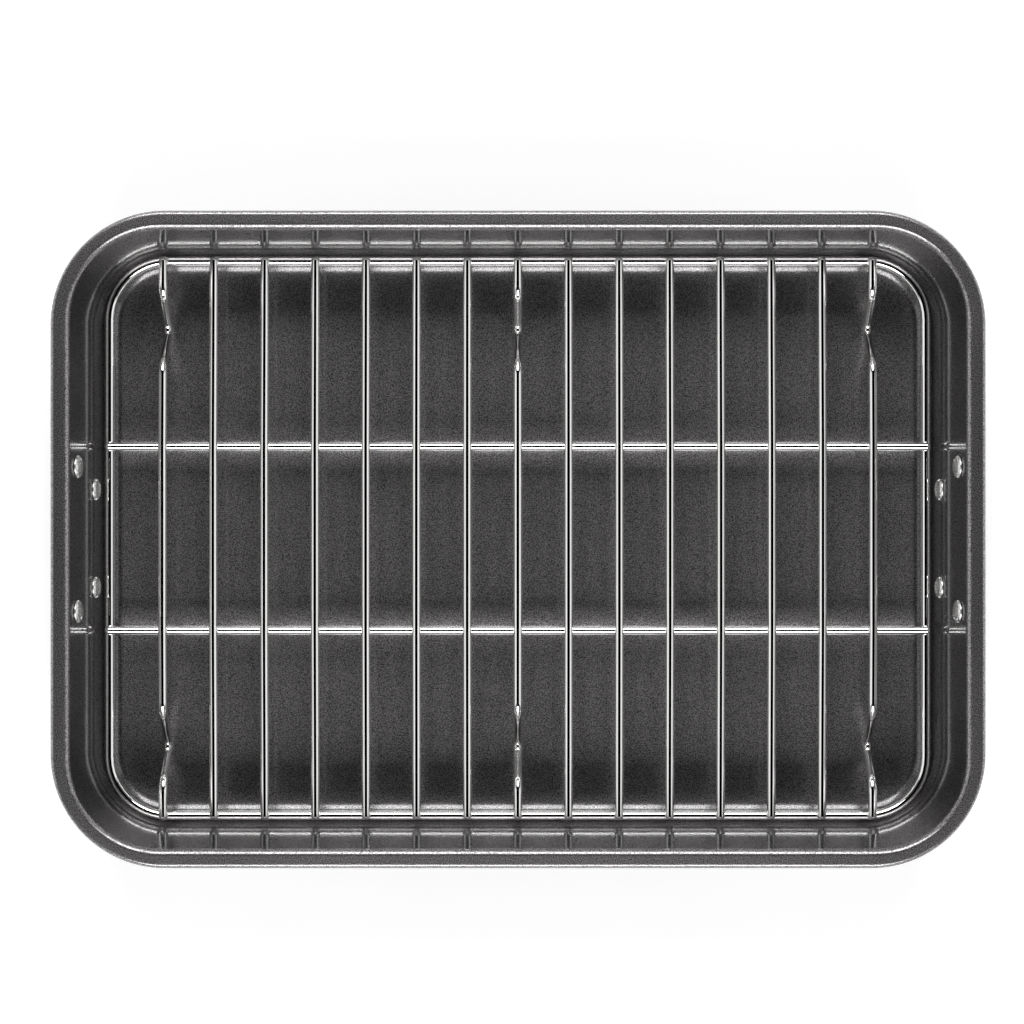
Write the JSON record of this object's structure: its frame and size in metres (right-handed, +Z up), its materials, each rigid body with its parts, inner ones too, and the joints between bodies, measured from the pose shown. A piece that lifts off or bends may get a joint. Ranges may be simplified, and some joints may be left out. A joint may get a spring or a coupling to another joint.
{
  "type": "roasting pan with rack",
  "caption": "Shallow oblong roasting pan with rounded corners, a rolled rim and folding wire handles, holding a flat lift-out wire rack on bent legs.",
  "frame": {"origin": "middle of the pan's flat underside, on the surface it stands on", "axes": "+X along the pan's length towards the right handle, +Y towards the rear long side, +Z up"},
  "size_m": [0.4334, 0.3048, 0.07],
  "materials": {
    "nonstick_steel": "dark grey non-stick coating on drawn steel, semi-gloss with a fine metallic fleck",
    "chrome_wire": "bright chrome plate on drawn steel wire",
    "rivet_metal": "bright headed aluminium",
    "plated_bracket": "satin plated pressed steel"
  },
  "bodies": {
    "pan": {"pan_shell": "nonstick_steel", "left_front_upper_rivet": "rivet_metal", "left_front_lower_rivet": "rivet_metal", "left_rear_upper_rivet": "rivet_metal", "left_rear_lower_rivet": "rivet_metal", "right_front_upper_rivet": "rivet_metal", "right_front_lower_rivet": "rivet_metal", "right_rear_upper_rivet": "rivet_metal", "right_rear_lower_rivet": "rivet_metal", "left_front_bracket": "plated_bracket", "left_rear_bracket": "plated_bracket", "right_front_bracket": "plated_bracket", "right_rear_bracket": "plated_bracket"},
    "left_handle": {"left_handle_bail": "chrome_wire"},
    "right_handle": {"right_handle_bail": "chrome_wire"},
    "rack": {"rack_frame": "chrome_wire", "rack_front_long_wire": "chrome_wire", "rack_rear_long_wire": "chrome_wire", "rack_leg_wire_left": "chrome_wire", "rack_leg_wire_middle": "chrome_wire", "rack_leg_wire_right": "chrome_wire", "rack_cross_wire_02": "chrome_wire", "rack_cross_wire_03": "chrome_wire", "rack_cross_wire_04": "chrome_wire", "rack_cross_wire_05": "chrome_wire", "rack_cross_wire_06": "chrome_wire", "rack_cross_wire_07": "chrome_wire", "rack_cross_wire_09": "chrome_wire", "rack_cross_wire_10": "chrome_wire", "rack_cross_wire_11": "chrome_wire", "rack_cross_wire_12": "chrome_wire", "rack_cross_wire_13": "chrome_wire", "rack_cross_wire_14": "chrome_wire"}
  },
  "joints": [
    {"name": "left_handle_swing", "type": "hinge", "parent": "pan", "child": "left_handle", "pos_m": [-0.20946, 0, 0.04616], "axis": [0, 1, 0], "range_deg": [-6, 154]},
    {"name": "right_handle_swing", "type": "hinge", "parent": "pan", "child": "right_handle", "pos_m": [0.20946, 0, 0.04616], "axis": [0, -1, 0], "range_deg": [-6, 154]},
    {"name": "rack_lift", "type": "slide", "parent": "pan", "child": "rack", "axis": [0, 0, 1], "range_m": [0, 0.09]}
  ]
}
